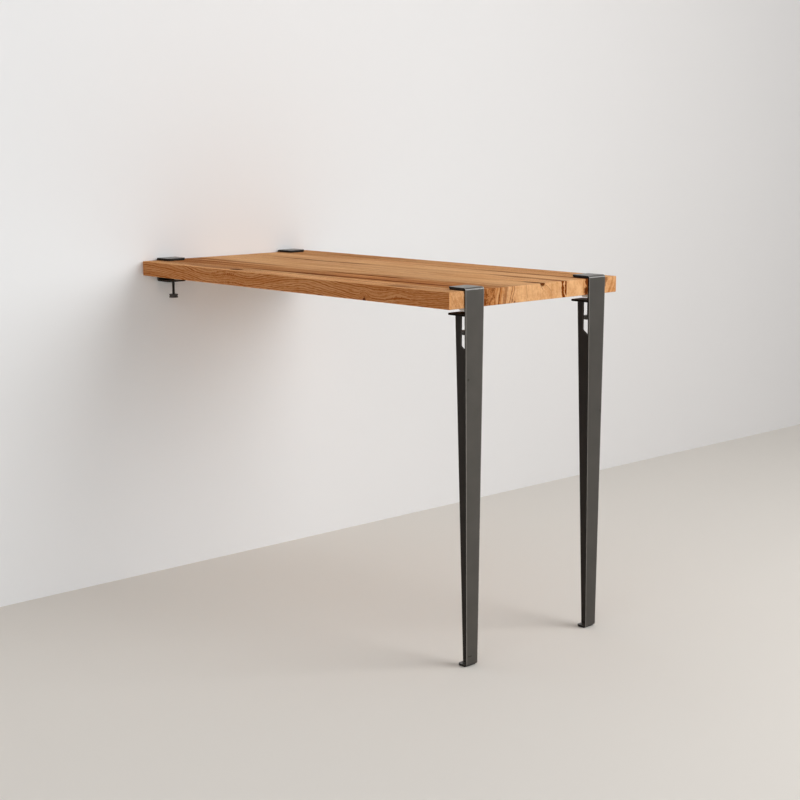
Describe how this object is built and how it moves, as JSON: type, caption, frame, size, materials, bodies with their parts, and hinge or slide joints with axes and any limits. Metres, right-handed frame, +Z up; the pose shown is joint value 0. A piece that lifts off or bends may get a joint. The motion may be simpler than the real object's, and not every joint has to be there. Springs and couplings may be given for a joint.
{
  "type": "wall mounted table",
  "caption": "Wall-mounted table: a glued-stave timber top gripped at one end by folded wall brackets and at the other by tapered folded-steel clamp legs, each with a knob-headed screw.",
  "frame": {"origin": "centre of the four wall-screw holes, on the wall plane at the backs of the two wall brackets, at mid-thickness of the top", "axes": "+X out of the wall along the length of the top, +Y along the wall, +Z up"},
  "size_m": [1.208, 0.6, 0.907],
  "materials": {
    "oak_golden": "oiled, satin",
    "oak_pale": "oiled, satin",
    "oak_russet": "oiled, satin",
    "graphite_powder_coat": "fine-textured matt powder coat",
    "black_screw": "black oxide",
    "black_knob": "satin black",
    "pale_nylon": "matt",
    "glide_plastic": "matt",
    "liner_rubber": "matt"
  },
  "bodies": {
    "table": {"tabletop_stave_1": "oak_golden", "tabletop_stave_2": "oak_russet", "tabletop_stave_3": "oak_golden", "tabletop_stave_4": "oak_pale", "tabletop_stave_5": "oak_pale", "tabletop_stave_6": "oak_pale", "tabletop_stave_7": "oak_pale", "tabletop_stave_8": "oak_pale", "tabletop_stave_9": "oak_golden", "tabletop_stave_10": "oak_golden", "leg_left_strip": "graphite_powder_coat", "leg_left_rib": "graphite_powder_coat", "leg_left_flange": "graphite_powder_coat", "leg_left_foot_glide": "glide_plastic", "leg_left_lip_liner": "liner_rubber", "wall_bracket_left": "graphite_powder_coat", "wall_bracket_left_liner": "liner_rubber", "leg_right_strip": "graphite_powder_coat", "leg_right_rib": "graphite_powder_coat", "leg_right_flange": "graphite_powder_coat", "leg_right_foot_glide": "glide_plastic", "leg_right_lip_liner": "liner_rubber", "wall_bracket_right": "graphite_powder_coat", "wall_bracket_right_liner": "liner_rubber"},
    "leg_left_pad": {"leg_left_pressure_pad": "pale_nylon"},
    "leg_left_clamp_screw": {"leg_left_screw": "black_screw", "leg_left_knob": "black_knob"},
    "wall_bracket_left_pad": {"wall_bracket_left_pressure_pad": "pale_nylon"},
    "wall_bracket_left_clamp_screw": {"wall_bracket_left_screw": "black_screw", "wall_bracket_left_knob": "black_knob"},
    "leg_right_pad": {"leg_right_pressure_pad": "pale_nylon"},
    "leg_right_clamp_screw": {"leg_right_screw": "black_screw", "leg_right_knob": "black_knob"},
    "wall_bracket_right_pad": {"wall_bracket_right_pressure_pad": "pale_nylon"},
    "wall_bracket_right_clamp_screw": {"wall_bracket_right_screw": "black_screw", "wall_bracket_right_knob": "black_knob"}
  },
  "joints": [
    {"name": "leg_left_pad_slide", "type": "slide", "parent": "table", "child": "leg_left_pad", "axis": [0, 0, 1], "range_m": [-0.00625, 0]},
    {"name": "leg_left_screw_turn", "type": "hinge", "parent": "leg_left_pad", "child": "leg_left_clamp_screw", "pos_m": [1.182, -0.22, -0.03], "axis": [0, 0, 1], "range_deg": [-1800.5, 0]},
    {"name": "wall_bracket_left_pad_slide", "type": "slide", "parent": "table", "child": "wall_bracket_left_pad", "axis": [0, 0, 1], "range_m": [-0.00625, 0]},
    {"name": "wall_bracket_left_screw_turn", "type": "hinge", "parent": "wall_bracket_left_pad", "child": "wall_bracket_left_clamp_screw", "pos_m": [0.0355, -0.22, -0.03], "axis": [0, 0, 1], "range_deg": [-1800.5, 0]},
    {"name": "leg_right_pad_slide", "type": "slide", "parent": "table", "child": "leg_right_pad", "axis": [0, 0, 1], "range_m": [-0.00625, 0]},
    {"name": "leg_right_screw_turn", "type": "hinge", "parent": "leg_right_pad", "child": "leg_right_clamp_screw", "pos_m": [1.182, 0.22, -0.03], "axis": [0, 0, 1], "range_deg": [-1800.5, 0]},
    {"name": "wall_bracket_right_pad_slide", "type": "slide", "parent": "table", "child": "wall_bracket_right_pad", "axis": [0, 0, 1], "range_m": [-0.00625, 0]},
    {"name": "wall_bracket_right_screw_turn", "type": "hinge", "parent": "wall_bracket_right_pad", "child": "wall_bracket_right_clamp_screw", "pos_m": [0.0355, 0.22, -0.03], "axis": [0, 0, 1], "range_deg": [-1800.5, 0]}
  ],
  "couplings": [
    {"joint": "leg_left_screw_turn", "follows": "leg_left_pad_slide", "rad_per_m": 5026.5},
    {"joint": "wall_bracket_left_screw_turn", "follows": "wall_bracket_left_pad_slide", "rad_per_m": 5026.5},
    {"joint": "leg_right_screw_turn", "follows": "leg_right_pad_slide", "rad_per_m": 5026.5},
    {"joint": "wall_bracket_right_screw_turn", "follows": "wall_bracket_right_pad_slide", "rad_per_m": 5026.5}
  ]
}
